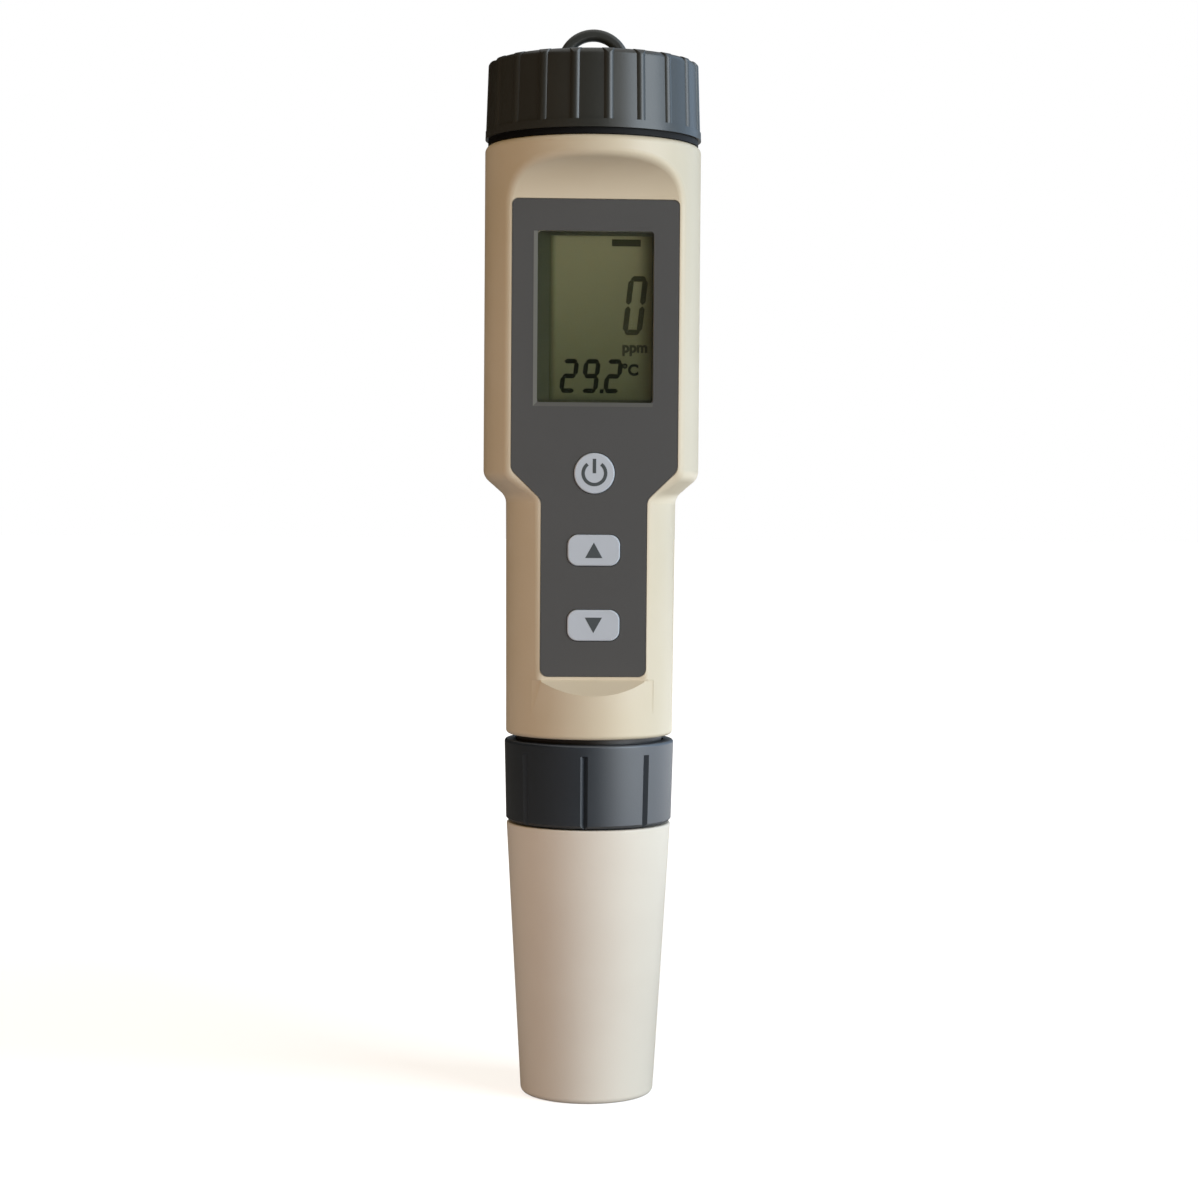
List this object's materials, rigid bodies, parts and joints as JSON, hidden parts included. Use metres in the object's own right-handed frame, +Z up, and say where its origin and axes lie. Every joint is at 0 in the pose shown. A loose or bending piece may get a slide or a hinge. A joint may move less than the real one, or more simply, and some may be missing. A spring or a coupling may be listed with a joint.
{
  "type": "floating salinity meter",
  "caption": "Pen-type floating salinity meter with a display window, keys, a ribbed screw battery cap with lanyard loop, a grooved collar and a pull-off probe cover.",
  "frame": {"origin": "centre of the protective cover's flat base, on the barrel's axis, where the meter stands", "axes": "+Z up along the barrel to the lanyard loop, the display faces -Y, +X to the right of the display"},
  "size_m": [0.038, 0.038, 0.188],
  "materials": {
    "barrel_plastic": "fine satin moulded ABS, cream",
    "cover_plastic": "matt moulded ABS, warm white",
    "cap_plastic": "dark grey moulded ABS, semi-matt",
    "graphic_film": "dark grey matt graphic film",
    "key_plastic": "light bluish grey",
    "clear_window": "clear polished acrylic",
    "display_glass": "olive grey reflective display",
    "black_plastic": "black moulded plastic",
    "black_rubber": "black silicone rubber",
    "board_laminate": "green coated glass-fibre board",
    "cell_steel": "nickel-plated steel can",
    "contact_brass": "gilded spring brass",
    "screw_steel": "zinc-plated steel",
    "probe_plastic": "black moulded plastic",
    "pin_metal": "fine turned metal"
  },
  "bodies": {
    "barrel": {"housing": "barrel_plastic", "front_overlay": "graphic_film", "window_lens": "clear_window", "lcd_glass": "display_glass", "lcd_frame": "black_plastic", "zebra_strips": "black_rubber", "circuit_board": "board_laminate", "board_chips": "black_plastic", "key_switches": "black_plastic", "battery_carrier": "black_plastic", "button_cells": "cell_steel", "battery_leaf_spring": "contact_brass", "battery_contact_plate": "contact_brass", "carrier_screws": "screw_steel", "neck_ring_seal": "black_rubber", "probe_socket": "black_plastic", "socket_seal": "black_rubber"},
    "seal_ring": {"cap_seal": "black_rubber"},
    "screw_cap": {"battery_cap": "cap_plastic", "cap_pad": "black_rubber"},
    "power_button": {"power_key": "key_plastic", "power_plunger": "black_plastic"},
    "up_button": {"up_key": "key_plastic", "up_plunger": "black_plastic"},
    "down_button": {"down_key": "key_plastic", "down_plunger": "black_plastic"},
    "probe": {"probe_body": "probe_plastic", "probe_contacts": "contact_brass", "electrode_pins": "pin_metal", "temperature_sleeve": "pin_metal", "probe_ring_seal": "black_rubber", "cap_grip_ring": "black_rubber"},
    "ring_nut": {"collar": "cap_plastic"},
    "cover": {"protective_cap": "cover_plastic"}
  },
  "joints": [
    {"name": "cap_lift", "type": "slide", "parent": "barrel", "child": "seal_ring", "axis": [0, 0, 1], "range_m": [0, 0.006]},
    {"name": "cap_turn", "type": "hinge", "parent": "seal_ring", "child": "screw_cap", "pos_m": [0, 0, 0.175], "axis": [0, 0, 1], "range_deg": [0, 720]},
    {"name": "power_press", "type": "slide", "parent": "barrel", "child": "power_button", "axis": [0, 1, 0], "range_m": [0, 0.00035], "stiffness_N_per_m": 1500},
    {"name": "up_press", "type": "slide", "parent": "barrel", "child": "up_button", "axis": [0, 1, 0], "range_m": [0, 0.00035], "stiffness_N_per_m": 1500},
    {"name": "down_press", "type": "slide", "parent": "barrel", "child": "down_button", "axis": [0, 1, 0], "range_m": [0, 0.00035], "stiffness_N_per_m": 1500},
    {"name": "probe_draw", "type": "slide", "parent": "probe", "child": "barrel", "axis": [0, 0, 1], "range_m": [0, 0.005]},
    {"name": "collar_turn", "type": "hinge", "parent": "probe", "child": "ring_nut", "pos_m": [0, 0, 0.056], "axis": [0, 0, -1], "range_deg": [0, 720]},
    {"name": "cover_pull", "type": "slide", "parent": "cover", "child": "probe", "axis": [0, 0, 1], "range_m": [0, 0.045]}
  ],
  "couplings": [
    {"joint": "cap_turn", "follows": "cap_lift", "rad_per_m": 2094.4},
    {"joint": "collar_turn", "follows": "probe_draw", "rad_per_m": 2513.3}
  ]
}
